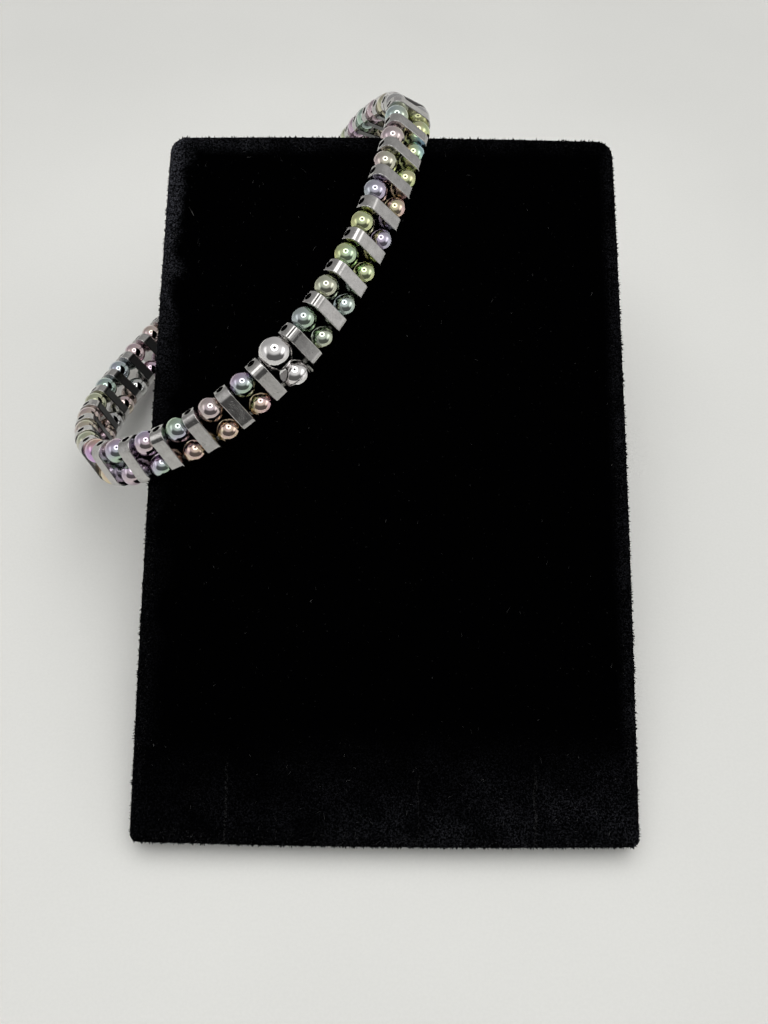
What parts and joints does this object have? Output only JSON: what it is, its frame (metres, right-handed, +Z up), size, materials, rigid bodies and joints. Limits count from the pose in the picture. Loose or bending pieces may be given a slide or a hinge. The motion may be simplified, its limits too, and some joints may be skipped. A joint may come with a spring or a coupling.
{
  "type": "stretch bracelet on velvet display stand",
  "caption": "Stretch bracelet of round beads and flat spacer bars with ball knot covers, slipped over a corner of a velvet display board that leans back on a prop leg.",
  "frame": {"origin": "on the table under the middle of the bounding box of board, leg and bracelet", "axes": "+X to the right seen from the front, +Y towards the back and up the board's slope, +Z up"},
  "size_m": [0.0704, 0.104, 0.0421],
  "materials": {
    "hematite": "polished dark grey stone with a satin mirror face",
    "rainbow_hematite": "polished stone with a thin rainbow coating that shows green, gold, pink, copper and blue",
    "silver_plate": "bright mirror silver plating",
    "black_velvet": "black velvet with a short upright nap over a stiff core"
  },
  "bodies": {
    "root": {"bar_01": "hematite", "bar_02": "hematite", "bar_03": "hematite", "bar_04": "hematite", "bar_05": "hematite", "bar_06": "hematite", "bar_07": "hematite", "bar_08": "hematite", "bar_09": "hematite", "bar_10": "hematite", "bar_11": "hematite", "bar_12": "hematite", "bar_13": "hematite", "bar_14": "hematite", "bar_15": "hematite", "bar_16": "hematite", "bar_17": "hematite", "bar_18": "hematite", "bar_19": "hematite", "bar_20": "hematite", "bar_21": "hematite", "bar_22": "hematite", "bar_23": "hematite", "bar_24": "hematite", "bar_25": "hematite", "bar_26": "hematite", "bar_27": "hematite", "bar_28": "hematite", "bar_29": "hematite", "bar_30": "hematite", "bar_31": "hematite", "bar_32": "hematite", "bar_33": "hematite", "bar_34": "hematite", "bar_35": "hematite", "bar_36": "hematite", "bar_37": "hematite", "bar_38": "hematite", "bar_39": "hematite", "upper_beads_1": "rainbow_hematite", "upper_beads_2": "rainbow_hematite", "upper_beads_3": "rainbow_hematite", "upper_beads_4": "rainbow_hematite", "lower_beads_1": "rainbow_hematite", "lower_beads_2": "rainbow_hematite", "lower_beads_3": "rainbow_hematite", "lower_beads_4": "rainbow_hematite", "knot_cover_upper": "silver_plate", "knot_cover_lower": "silver_plate", "velvet_board": "black_velvet", "prop_leg": "black_velvet"}
  },
  "joints": []
}
